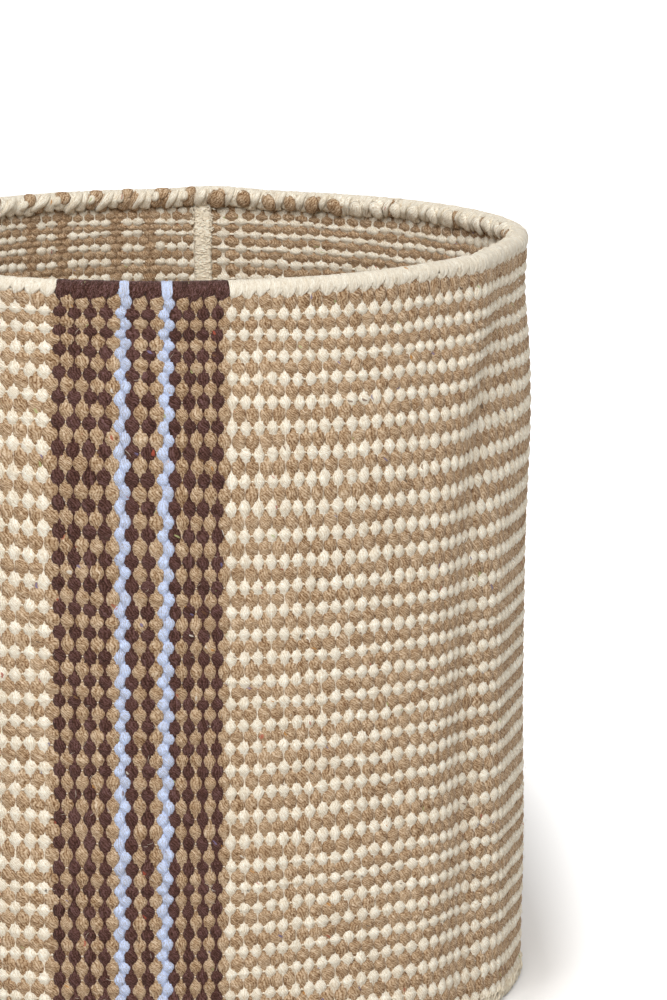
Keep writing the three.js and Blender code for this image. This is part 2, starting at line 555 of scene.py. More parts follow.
class YarnTree:
    """A Geometry Nodes tree that lays one tube of yarn for every point of a plan."""

    def __init__(self, name: str) -> None:
        """Starts the tree: a tube on every point of the plan, made real.

        Args:
            name: Name of the tree.
        """
        self.tree = bpy.data.node_groups.new(name, "GeometryNodeTree")
        self.tree.is_modifier = True
        self.tree.interface.new_socket("Yarn", in_out="OUTPUT", socket_type="NodeSocketGeometry")
        self.inputs = self._node("NodeGroupInput")
        plan, sides = self._input("Plan", "Geometry"), self._input("Sides", "Int")
        self.rings = Field(self.tree, self._input("Rings", "Int"))
        self.columns, self.lines, self.seed = self.numbers("Bake Columns", "Bake Lines", "Seed")
        self.material = self._input("Material", "Material")
        ends = {"Vertices": sides, "Side Segments": self.rings, "Radius": 1.0, "Depth": 1.0}
        tube = self._node("GeometryNodeMeshCylinder", ends, fill_type="NONE").outputs
        named = self.store(tube["Mesh"], PATTERN_UV, "FLOAT2", "CORNER", tube["UV Map"])
        planted = self._node("GeometryNodeInstanceOnPoints", {"Points": plan, "Instance": named})
        real = self._node("GeometryNodeRealizeInstances", {"Geometry": planted.outputs["Instances"]})
        self.geometry = real.outputs["Geometry"]
        position = self._node("GeometryNodeInputPosition").outputs[0]
        self.across, self.outward, along = split(self.tree, position)
        self.along = along + 0.5
        self.round = split(self.tree, self.attribute(PATTERN_UV, "FLOAT_VECTOR"))[0]

    def _node(self, kind: str, inputs: Optional[Inputs] = None, **settings: object) -> bpy.types.Node:
        """Adds a node with its settings and whatever its inputs get."""
        return add_node(self.tree, kind, inputs, **settings)

    def _input(self, name: str, kind: str) -> Socket:
        """Adds a named input of the tree and gives the socket that carries it."""
        self.tree.interface.new_socket(name, in_out="INPUT", socket_type="NodeSocket" + kind)
        return self.inputs.outputs[name]

    def number(self, name: str) -> Field:
        """Adds a named size that the modifier sets."""
        return Field(self.tree, self._input(name, "Float"))

    def numbers(self, *names: str) -> list[Field]:
        """Adds some named sizes that the modifier sets."""
        return [self.number(name) for name in names]

    def attribute(self, name: str, kind: str = "FLOAT") -> Field:
        """Reads what the plan or the mesh says under a name, as data of a kind."""
        node = self._node("GeometryNodeInputNamedAttribute", {"Name": name}, data_type=kind)
        return Field(self.tree, node.outputs["Attribute"])

    def attributes(self, *names: str) -> list[Field]:
        """Reads some numbers that the plan says about each yarn."""
        return [self.attribute(name) for name in names]

    def store(self, geometry: Socket, name: str, kind: str, domain: str,
              value: Union[Number, Socket]) -> Socket:
        """Keeps a value on the mesh under a name.

        Args:
            geometry: Socket with the mesh.
            name: Name of the attribute.
            kind: Its data type.
            domain: What it is kept on.
            value: The value.

        Returns:
            Socket with the mesh that holds it.
        """
        inputs = {"Geometry": geometry, "Name": name, "Value": value}
        node = self._node("GeometryNodeStoreNamedAttribute", inputs, data_type=kind, domain=domain)
        return node.outputs["Geometry"]

    def closing(self) -> Field:
        """1 along the yarn, and 0 at its two ends, where it closes within one ring."""
        return (self.along.of("MINIMUM", 1.0 - self.along) * self.rings).of("MINIMUM", 1.0)

    def finish(self, position: Socket, run: Field, closed: Number = 1.0) -> Tree:
        """Moves the tubes to their place, closes their ends and gives them their finish.

        Args:
            position: Where each point of the tubes goes.
            run: Pattern coordinate along the yarn.
            closed: Less than a hundredth where the points of an end come together.

        Returns:
            The finished tree.
        """
        place = self.attribute("place")
        column = place.of("FLOORED_MODULO", self.columns)
        line = (place / self.columns).of("FLOOR")
        bake_x = (column + 0.04 + self.round * 0.92) / self.columns
        bake_y = (line + 0.02 + self.along * 0.96) / self.lines
        geometry = self.store(self.geometry, BAKE_UV, "FLOAT2", "CORNER", gather(bake_x, bake_y))
        geometry = self.store(geometry, "run", "FLOAT", "POINT", run)
        geometry = self.store(geometry, "closed", "FLOAT", "POINT", closed)
        moved = self._node("GeometryNodeSetPosition", {"Geometry": geometry, "Position": position})
        pattern = gather(self.round, self.attribute("run"))
        geometry = self.store(moved.outputs["Geometry"], PATTERN_UV, "FLOAT2", "CORNER", pattern)
        ends = {"Selection": self.attribute("closed").of("LESS_THAN", 0.01), "Distance": 0.00001}
        for kind, inputs in (("MergeByDistance", ends), ("SetShadeSmooth", {}),
                             ("SetMaterial", {"Material": self.material})):
            geometry = self._node("GeometryNode" + kind, {"Geometry": geometry, **inputs}).outputs["Geometry"]
        self._node("NodeGroupOutput", {0: geometry})
        return self.tree


@dataclass
class Plan:
    """One row for each yarn that a tree lays: its numbers by name and its dye."""

    rows: list[dict[str, float]] = field(default_factory=list)
    dyes: list[Dye] = field(default_factory=list)

    def add(self, dye: Dye, **numbers: float) -> None:
        """Adds one yarn with its dye and the numbers that the tree has to know of it."""
        self.rows.append({**numbers, "place": float(len(self.rows)), "mottle": dye.mottle})
        self.dyes.append(dye)

    def lay(self, dye: Dye, number: float, angles: tuple[float, float], downs: tuple[float, float],
            wide: float, thick: float, lift: float, arch: float = 0.0, spread: float = 0.0,
            dive: float = 0.0, **more: float) -> None:
        """Adds one yarn that lies on the rim or on the wall.

        Args:
            dye: Its dye.
            number: Its number.
            angles: Where it starts and ends, from -Y towards +X, in radians.
            downs: How far down it starts and ends, in millimetres.
            wide: Half its width.
            thick: Half its thickness.
            lift: How far it lies off the surface.
            arch: How much further its middle bows out.
            spread: How far its middle bends sideways.
            dive: How deep its start is sunk.
            more: Further numbers for its tree.
        """
        self.add(dye, number=number, angle_a=angles[0], angle_b=angles[1], down_a=downs[0], down_b=downs[1],
                 wide=wide, thick=thick, lift=lift, arch=arch, spread=spread, dive=dive, **more)

    def mesh(self, name: str) -> bpy.types.Mesh:
        """Makes the plan a mesh of loose points that carries the numbers.

        Args:
            name: Name of the mesh.

        Returns:
            The mesh.
        """
        made = bpy.data.meshes.new(name)
        made.vertices.add(len(self.rows))
        for key in self.rows[0]:
            values = [row[key] for row in self.rows]
            made.attributes.new(key, "FLOAT", "POINT").data.foreach_set("value", values)
        colors = [part for dye in self.dyes for part in dye.color]
        made.attributes.new("dye", "FLOAT_COLOR", "POINT").data.foreach_set("color", colors)
        return made


@dataclass
class Grower:
    """Turns a plan and a tree into a plain mesh piece of the basket."""

    seed: int = 7

    def grow(self, name: str, plan: Plan, tree: Tree, material: Material,
             sides: int, rings: int, columns: int, **sizes: float) -> bpy.types.Object:
        """Lays the plan's yarns and keeps the result as a plain mesh.

        Args:
            name: Name of the piece.
            plan: Its yarns.
            tree: The tree that lays them.
            material: Their finish.
            sides: Sides of each tube.
            rings: Segments along each tube.
            columns: Yarns side by side in the bake's map.
            sizes: The tree's other named inputs.

        Returns:
            The piece, at the origin.
        """
        lines = math.ceil(len(plan.rows) / columns)
        given = {"Sides": sides, "Rings": rings, "Bake Columns": float(columns),
                 "Bake Lines": float(lines), "Seed": float(self.seed), "Material": material, **sizes}
        holder = bpy.data.objects.new(name + "_plan", plan.mesh(name + "_plan"))
        bpy.context.scene.collection.objects.link(holder)
        modifier = holder.modifiers.new("Yarn", "NODES")
        modifier.node_group = tree
        for item in tree.interface.items_tree:
            if item.in_out == "INPUT" and item.name in given:
                modifier[item.identifier] = given[item.name]
        depsgraph = bpy.context.evaluated_depsgraph_get()
        made = bpy.data.meshes.new_from_object(holder.evaluated_get(depsgraph), depsgraph=depsgraph)
        holder.modifiers.remove(modifier)
        spare = holder.data
        bpy.data.objects.remove(holder)
        bpy.data.meshes.remove(spare)
        made.name = name
        for key in ("closed", "place", "run"):
            if key in made.attributes:
                made.attributes.remove(made.attributes[key])
        piece = bpy.data.objects.new(name, made)
        bpy.context.scene.collection.objects.link(piece)
        return piece


@dataclass
class Fitting:
    """Ties a finished piece to the frame: the body, and the nodes that it stands for."""

    body: str = "root"

    def fit(self, piece: bpy.types.Object, slot: str, nodes: Sequence[str] = ()) -> None:
        """Lets a piece ride on the basket and reports it.

        Args:
            piece: The finished piece.
            slot: Not used.
            nodes: The CAD nodes that it stands for.
        """
        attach(piece, self.body)
        if nodes:
            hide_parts(*nodes)
        triangles = sum(len(polygon.vertices) - 2 for polygon in piece.data.polygons)
        LOG.info("%s: %d triangles", piece.name, triangles)


class ShaderGroups:
    """Effects that several finishes share, each a shader node group built once."""

    def __init__(self) -> None:
        """Builds the groups."""
        self.spun = self._spun_yarn()

    def _spun_yarn(self) -> Tree:
        """The look of spun yarn: its strands, with painted shade in the grooves between them, its mixed
        fibres, its flecks and its uneven dye.

        Returns:
            The group.
        """
        tree = bpy.data.node_groups.new("SpunYarn", "ShaderNodeTree")
        kinds = {"Dye": "Color", "Color": "Color", "Pattern": "Vector"}
        names = {"INPUT": ("Dye", "Mottle", "Pattern", "Yarn Number", "Strands", "Twist", "Groove Shade", "Streaks",
                           "Fleck Share", "Stray"),
                 "OUTPUT": ("Color", "Height", "Roughness")}
        for way, words in names.items():
            for word in words:
                kind = "NodeSocket" + kinds.get(word, "Float")
                tree.interface.new_socket(word, in_out=way, socket_type=kind)
        inputs = add_node(tree, "NodeGroupInput").outputs

        def given(name: str) -> Field:
            """A named input of the group."""
            return Field(tree, inputs[name])

        round_, run, _ = split(tree, inputs["Pattern"])
        number = given("Yarn Number")
        wander = noise((round_ * 4.0, run * 1.6, number * 3.7), 1.0)
        place = (run + number) * 0.5 + 0.5
        lay = (scatter((number, place.of("FLOOR"), 9.0)) - 0.5) * (place.of("FRACT") - 0.5)
        phase = round_ * given("Strands") + run * given("Twist") + wander * 3.2 + lay * given("Stray")
        crest = 1.0 - (phase.of("FRACT") * 2.0 - 1.0).of("ABSOLUTE").of("POWER", 2.0)
        strand = scatter((phase.of("FLOOR"), number, (run * 0.6 + round_).of("FLOOR"))) - 0.5
        fibre = noise((phase * 0.9, run * 2.6 - round_ * 5.0, number * 5.3), 1.0) * 3.6
        fibre = fibre.held(-1.0, 1.0)
        cloud = noise((phase * 0.4, run * 0.9 - round_ * 1.5, number * 2.9 + 40.0), 2.0)
        grain = noise((round_ * 22.0, run * 9.0, number * 8.1 + 70.0), 1.0) * 3.6
        float_tone = scatter((number, place.of("FLOOR"), 3.0)) - 0.5
        yarn_tone = scatter((number, 11.0, 5.0)) - 0.5
        mottle = given("Mottle")
        # The groove term is painted shade: it darkens the colour where the strands meet, besides the bump
        # that the crest gives.
        mixed = (crest - 0.667) * given("Groove Shade") + strand * 0.8 + fibre * 0.7 + cloud + grain
        uneven = float_tone * (mottle * 0.22 + 0.03) + yarn_tone * 0.05
        tone = (1.0 + mixed * mottle * given("Streaks") + uneven).of("MAXIMUM", 0.25)
        tones = {part: tone.of("POWER", steepness) for part, steepness in enumerate((0.85, 1.12, 1.45))}
        shades = add_node(tree, "ShaderNodeCombineColor", tones)
        colors = {"Factor": 1.0, 6: inputs["Dye"], 7: shades.outputs[0]}
        tinted = add_node(tree, "ShaderNodeMix", colors, data_type="RGBA", blend_type="MULTIPLY")
        spots = {"Scale": 1.0, "Vector": gather(phase * 0.8, run * 1.5 - round_ * 3.0, number * 9.1)}
        cells = add_node(tree, "ShaderNodeTexVoronoi", spots, voronoi_dimensions="3D")
        lot = add_node(tree, "ShaderNodeSeparateColor", {0: cells.outputs["Color"]})
        chosen = Field(tree, lot.outputs[0]).of("LESS_THAN", given("Fleck Share"))
        near = Field(tree, cells.outputs["Distance"]).of("LESS_THAN", 0.42)
        ramp = add_node(tree, "ShaderNodeValToRGB", {0: lot.outputs[1]})
        ramp.color_ramp.interpolation = "CONSTANT"
        stops = ramp.color_ramp.elements
        flecks = (linear(198, 138, 62), linear(236, 228, 214), linear(112, 76, 50), linear(186, 192, 130),
                  linear(178, 84, 62), linear(128, 92, 60), linear(122, 112, 150), linear(84, 66, 54))
        for step, color in enumerate(flecks):
            stop = stops.new(step / len(flecks)) if step else stops[0]
            stop.position = step / len(flecks)
            stop.color = color
        stops[-1].color = flecks[-1]
        colors = {"Factor": chosen * near * 0.8, 6: tinted.outputs[2], 7: ramp.outputs[0]}
        flecked = add_node(tree, "ShaderNodeMix", colors, data_type="RGBA")
        add_node(tree, "NodeGroupOutput", {
            "Color": flecked.outputs[2], "Height": crest * 0.7 + fibre * 0.3,
            "Roughness": 0.9 - crest * 0.06 + fibre * 0.1})
        return tree


@dataclass(frozen=True)
class YarnFinish:
    """The finish of one kind of cotton yarn."""

    name: str
    strands: float = 14.0
    twist: float = 3.4
    # How dark the painted shade in the grooves between the strands is.
    groove_shade: float = 1.4
    streaks: float = 1.0
    flecks: float = 0.014
    stray: float = 12.0
    relief: float = 0.0003
    sheen: float = 0.08

    def material(self, groups: ShaderGroups) -> Material:
        """Builds the material.

        Args:
            groups: The shared shader groups.

        Returns:
            The material.
        """
        made = bpy.data.materials.new(self.name)
        tree = clear_nodes(made)
        inputs = {"Strands": self.strands, "Twist": self.twist, "Groove Shade": self.groove_shade,
                  "Streaks": self.streaks, "Fleck Share": self.flecks, "Stray": self.stray}
        for name, socket in (("dye", "Dye"), ("mottle", "Mottle"), ("number", "Yarn Number")):
            read = add_node(tree, "ShaderNodeAttribute", attribute_name=name)
            inputs[socket] = read.outputs["Color" if name == "dye" else "Fac"]
        inputs["Pattern"] = add_node(tree, "ShaderNodeUVMap", uv_map=PATTERN_UV).outputs[0]
        yarn = add_node(tree, "ShaderNodeGroup", inputs, node_tree=groups.spun)
        relief = {"Strength": 0.8, "Distance": self.relief, "Height": yarn.outputs["Height"]}
        bump = add_node(tree, "ShaderNodeBump", relief)
        shader = add_node(tree, "ShaderNodeBsdfPrincipled", {
            "Base Color": yarn.outputs["Color"], "Roughness": yarn.outputs["Roughness"],
            "Specular IOR Level": 0.2, "Sheen Weight": self.sheen, "Sheen Roughness": 0.5,
            "Normal": bump.outputs[0]})
        add_node(tree, "ShaderNodeOutputMaterial", {"Surface": shader.outputs[0]})
        return made


@dataclass
class Palette:
    """All the finishes of the basket, made once."""

    groups: ShaderGroups
    cloth: Material = field(init=False)
    rim: Material = field(init=False)
    thick: Material = field(init=False)
    felted: Material = field(init=False)
    loose: Material = field(init=False)

    def __post_init__(self) -> None:
        """Builds the materials."""
        self.cloth = YarnFinish("warp_yarn").material(self.groups)
        self.rim = YarnFinish("rim_yarn", strands=6.0, twist=1.2, groove_shade=0.9, flecks=0.004,
                              stray=0.0, relief=0.00013).material(self.groups)
        self.thick = YarnFinish("tucked_yarn", strands=16.0, twist=1.0, flecks=0.004,
                                stray=0.0, relief=0.0002).material(self.groups)
        self.felted = YarnFinish("felted_yarn", strands=9.0, twist=4.0, groove_shade=0.5, streaks=1.6,
                                 flecks=0.02, stray=0.0, relief=0.0002).material(self.groups)
        self.loose = YarnFinish("loose_yarn", strands=3.0, twist=1.0, groove_shade=0.5, flecks=0.0,
                                stray=0.0, relief=0.00003).material(self.groups)


@dataclass
class Workshop:
    """What every sub-assembly of the basket is made with."""

    grower: Grower
    fitting: Fitting
    palette: Palette

    def make(self, name: str, plan: Plan, tree: Tree, finish: Material,
             mesh: tuple[int, int, int], slot: str, nodes: Sequence[str] = (), **sizes: float) -> None:
        """Lays the yarns of one piece and ties it to the frame.

        Args:
            name: Name of the piece.
            plan: Its yarns.
            tree: The tree that lays them.
            finish: Their material.
            mesh: Sides and rings of each tube, and how many yarns lie side by side in the bake's map.
            slot: Name of the record's material slot, handed on to the fitting.
            nodes: The CAD nodes that it stands for.
            sizes: The tree's other named inputs.
        """
        piece = self.grower.grow(name, plan, tree, finish, *mesh, **sizes)
        self.fitting.fit(piece, slot, nodes)


@dataclass(frozen=True)
class Floats:
    """How the floats of one kind of warp swell, as shares of half its room, and how they stand."""

    fullness: float
    widest: float
    body: float = 1.0
    proud: float = 0.0
    slack: float = 0.0
    inner: float = 1.22
    vary: float = 0.35
    peaked: float = 0.0


class WarpKind(Enum):
    """The kinds of warp, by their floats."""

    TAN = Floats(2.8, 1.2, body=0.97, proud=-0.06)
    CREAM = Floats(1.0, 0.96, proud=0.12, inner=0.95, vary=0.9, peaked=0.5)
    STRIPE = Floats(1.7, 1.04, proud=0.05, slack=0.2)
    BLUE = Floats(1.6, 1.25, body=0.9, proud=0.1)
    SEAM = Floats(1.3, 1.3, proud=0.4, inner=0.95, vary=0.9, peaked=0.5)


@dataclass
class WovenWall(Workshop):
    """The wall's warp yarns, each over and under one pick of weft at a time."""

    first_pick: float = -4.6
    last_pick: float = 62.6
    rim_pick_outside: float = -1.45
    rim_pick_inside: float = -2.5
    highest: float = 326.0
    rings_per_pick: int = 4
    sides: int = 8
    thickness: float = 1.95
    waist: float = 0.08
    squareness: float = 0.5
    inner_fullness: float = 2.6
    widest_room: float = 3.6
    slack_start: float = 14.0
    slack_picks: float = 30.0
    group_warps: int = 46

    def pinstripe_dye(self, place: int) -> Dye:
        """Dye of a warp of the grouped stripes beside the seam, counted from the seam."""
        return Dye.TAN if place % 2 or (place // 2) % 8 in (4, 7) else Dye.CREAM

    def tree(self) -> Tree:
        """Builds the tree that weaves one warp for each point of its plan.

        Returns:
            The tree.
        """
        yarn = YarnTree("WovenWarps")
        first, last, thick, waist, squareness = yarn.numbers(
            "First Pick", "Last Pick", "Thickness", "Waist", "Squareness")
        warp, angle, room, fullness, widest, inner, body, proud = yarn.attributes(
            "number", "angle", "room", "fullness", "widest", "inner", "body", "proud")
        pick = first + (last - first) * yarn.along
        wave = ((pick + warp) * math.pi).of("COSINE")
        size = wave.of("ABSOLUTE")
        inside = wave.of("LESS_THAN", 0.0)
        under_rim = pick.of("LESS_THAN", self.rim_pick_outside) * (1.0 - inside)
        under_rim = under_rim + pick.of("LESS_THAN", self.rim_pick_inside) * inside
        wave = wave.of("SIGN") * size.of("POWER", 0.8) * (1.0 - under_rim * 0.8)
        grain = noise((warp * 7.31, pick * 0.55, yarn.seed), 0.0)
        spread = noise((warp * 5.17 + 31.0, pick * 0.5, yarn.seed), 0.0)
        skew = noise((warp * 6.13 + 11.0, pick * 1.1, yarn.seed), 0.0)
        sway = noise((warp * 0.23, pick * 0.16, yarn.seed + 9.0), 1.0)
        own = scatter((warp, yarn.seed, 4.0)) - 0.5
        heave = BEATING.heave_field(warp, pick, yarn.seed)
        height = BEATING.height_field(pick, angle) + heave + grain * 1.9
        height = height.of("MINIMUM", RIM.rise_field(angle) + self.highest)
        shut = yarn.closing()
        own_thick = thick * body
        loosened = ((pick - self.slack_start) / self.slack_picks).held(0.0, 1.0)
        slack = 1.0 - loosened * yarn.attribute("slack")
        widest = widest + (inner - widest) * inside
        fullness = fullness + (inner * self.inner_fullness - fullness) * inside
        peak = 1.0 - size.of("ARCCOSINE") * (2 / math.pi) - size
        shape = size + peak * yarn.attribute("peaked") * (1.0 - inside)
        bulge = (fullness * shape).of("MINIMUM", widest) * slack * (1.0 + spread * yarn.attribute("vary"))
        half_width = (bulge + 1.0) * (room.of("MINIMUM", self.widest_room) / 2.0) * shut
        half_depth = (1.0 - (1.0 - size) * waist) * own_thick * (1.0 + grain * 0.18) * shut
        middle = CLOTH.wall / 2 - (CLOTH.wall / 2 - own_thick + proud) * wave + spread * 0.25
        flat = yarn.across.of("SIGN") * yarn.across.of("ABSOLUTE").of("POWER", 0.75)
        side = sway * 1.5 + own * 0.2 + grain * 0.3 + skew * 0.85 + flat * half_width
        squared = yarn.outward.of("SIGN") * yarn.outward.of("ABSOLUTE").of("POWER", squareness)
        depth = middle - squared * half_depth
        position = place_on_basket(angle + side / CLOTH.radius, height, depth)
        return yarn.finish(position, pick, shut)

    def kind(self, number: int, dye: Dye) -> WarpKind:
        """Says how the floats of a warp swell.

        Args:
            number: Number of the warp.
            dye: Its dye.

        Returns:
            Its kind.
        """
        if CLOTH.seam_warp <= number < CLOTH.grouped_warp:
            return WarpKind.SEAM
        if dye is Dye.BLUE:
            return WarpKind.BLUE
        if number < CLOTH.stripe_warps:
            return WarpKind.STRIPE
        return WarpKind.CREAM if dye is Dye.CREAM else WarpKind.TAN

    def band(self, name: str, tree: Tree, first: int, dyes: Sequence[Dye], slot: str,
             node: str) -> None:
        """Weaves some warps side by side.

        Args:
            name: Name of the piece.
            tree: The weaving tree.
            first: Number of its first warp.
            dyes: The dyes of its warps.
            slot: Name of the record's material slot, handed on to the fitting.
            node: The CAD node that it stands for.
        """
        plan = Plan()
        for number, dye in enumerate(dyes, first):
            plan.add(dye, number=float(number), angle=CLOTH.edge(number + 0.5), room=CLOTH.room(number),
                     **asdict(self.kind(number, dye).value))
        rings = round((self.last_pick - self.first_pick) * self.rings_per_pick)
        sizes = {"First Pick": self.first_pick, "Last Pick": self.last_pick, "Thickness": self.thickness,
                 "Waist": self.waist, "Squareness": self.squareness}
        self.make(name, plan, tree, self.palette.cloth, (self.sides, rings, len(dyes)), slot, [node], **sizes)

    def build(self) -> None:
        """Weaves the stripe, the two fields and the grouped stripes, band by band."""
        tree = self.tree()
        field_dyes = [Dye.CREAM if warp % 2 == 0 else Dye.TAN for warp in range(CLOTH.warps)]
        stripe = [stripe_dye(warp) for warp in range(CLOTH.stripe_warps)]
        bands = (("brown_warps_left", 0, 8, "brown_stripe_cloth"), ("blue_warps_left", 8, 2, "blue_yarn"),
                 ("brown_warps_middle", 10, 4, "brown_stripe_cloth"),
                 ("blue_warps_right", 14, 2, "blue_yarn"),
                 ("brown_warps_right", 16, 8, "brown_stripe_cloth"))
        for node, first, count, slot in bands:
            self.band("woven_" + node, tree, first, stripe[first:first + count], slot, node)
        seam, grouped, left = CLOTH.seam_warp, CLOTH.grouped_warp, CLOTH.left_warp
        pinstripes = [self.pinstripe_dye(place) for place in range(left - grouped)]
        field_slot = "cream_and_tan_cloth"
        runs = (("field_warps_right", CLOTH.stripe_warps, field_dyes[CLOTH.stripe_warps:seam], field_slot),
                ("side_seam", seam, [Dye.CREAM] * (grouped - seam), "cream_yarn"),
                ("pinstripe_warps", grouped, pinstripes, field_slot),
                ("field_warps_left", left, field_dyes[left:], field_slot))
        for node, first, dyes, slot in runs:
            parts = math.ceil(len(dyes) / self.group_warps)
            edges = [round(len(dyes) * part / parts) for part in range(parts + 1)]
            for part, (low, high) in enumerate(zip(edges, edges[1:]), 1):
                self.band(f"woven_{node}_{part}", tree, first + low, dyes[low:high], slot, node)


@dataclass
class Weft(Workshop):
    """The thin cream weft, seen as dots and short lines between the floats."""

    picks: int = 62
    radius: float = 0.6
    thinner_in_stripe: float = 0.45

    def tree(self) -> Tree:
        """Builds the tree that lays one ring of weft for each point of its plan.

        Returns:
            The tree.
        """
        yarn = YarnTree("WeftRings")
        radius = yarn.number("Radius")
        pick = yarn.attribute("number")
        warp = yarn.along * float(CLOTH.warps)
        angle = CLOTH.edge_field(warp + 0.5)
        wave = ((pick + warp) * math.pi).of("COSINE")
        heave = BEATING.heave_field(warp, pick, yarn.seed)
        radius = radius * (1.0 - warp.of("LESS_THAN", float(CLOTH.stripe_warps)) * self.thinner_in_stripe)
        height = BEATING.height_field(pick, angle) + heave + yarn.across * radius
        inward = wave.of("MAXIMUM", 0.0) * yarn.attribute("inward")
        outward = wave.of("MINIMUM", 0.0) * yarn.attribute("play_out")
        depth = inward + outward + CLOTH.wall / 2 - yarn.outward * radius
        return yarn.finish(place_on_basket(angle, height, depth), warp)

    def build(self) -> None:
        """Lays all the picks."""
        plan = Plan()
        for pick in range(-1, self.picks):
            even = pick % 2 == 0
            plan.add(Dye.CREAM, number=float(pick), play_out=1.25 if even else 0.4,
                     inward=0.6 if even else 1.5)
        self.make("weft_yarns", plan, self.tree(), self.palette.loose, (3, CLOTH.warps, 4), "cream_yarn",
                  **{"Radius": self.radius})


class LaidYarns:
    """A tree for yarns that lie on the rim or on the wall, each from one point to another."""

    def __init__(self, name: str, surface: Surface) -> None:
        """Builds the tree.

        Args:
            name: Name of the tree.
            surface: What the yarns lie on.
        """
        yarn = YarnTree(name)
        open_end, tip_size = yarn.numbers("Open End", "Tip Size")
        own = SimpleNamespace(**{key: yarn.attribute(key) for key in (
            "number", "angle_a", "angle_b", "down_a", "down_b", "wide", "thick", "lift", "arch", "spread",
            "dive")})
        along = yarn.along
        shut = yarn.closing()
        taper = tip_size + (1.0 - tip_size) * (along * 4.5).of("MINIMUM", 1.0).of("POWER", 0.7)
        both = (along * math.pi).of("SINE").of("MAXIMUM", 0.0).of("POWER", 0.55)
        taper = taper * open_end + both * (1.0 - open_end)
        fan_open = (along * 4.2).of("MINIMUM", 1.0)
        fan_open = 0.4 + fan_open * fan_open * (3.0 - fan_open * 2.0) * 0.6
        fan = fan_open * open_end + (along * math.pi).of("SINE") * (1.0 - open_end)
        across = (own.angle_b - own.angle_a) * CLOTH.radius
        length_down = own.down_b - own.down_a
        length = (across * across + length_down * length_down).of("SQRT")
        unit_across, unit_down = across / length, length_down / length
        jitter = noise((own.number * 3.3, along * 3.0, yarn.seed), 1.0)
        side = yarn.attribute("side") if surface is Surface.WALL else along * 0.0 + 1.0
        offset = yarn.across * side * own.wide * taper * shut + own.spread * fan + jitter * 0.5
        angle = own.angle_a + (own.angle_b - own.angle_a) * along
        angle = angle + offset * unit_down / CLOTH.radius
        down = own.down_a + length_down * along - offset * unit_across
        rise = (along * math.pi).of("SINE") * own.arch + own.lift
        sink = (1.0 - (along * 5.0).of("MINIMUM", 1.0)).of("POWER", 2.0) * own.dive
        lift = rise - sink + yarn.outward * own.thick * taper * shut + jitter * 0.25
        if surface is Surface.RIM:
            depth, height = RIM.section_field(down, lift)
            height = height + RIM.rise_field(angle)
        else:
            height = -down
            depth = CLOTH.wall / 2 - (lift + CLOTH.wall / 2) * side
        position = place_on_basket(angle, height, depth)
        run = along * length * (1.0 / 5.0)
        self.tree = yarn.finish(position, run, shut)


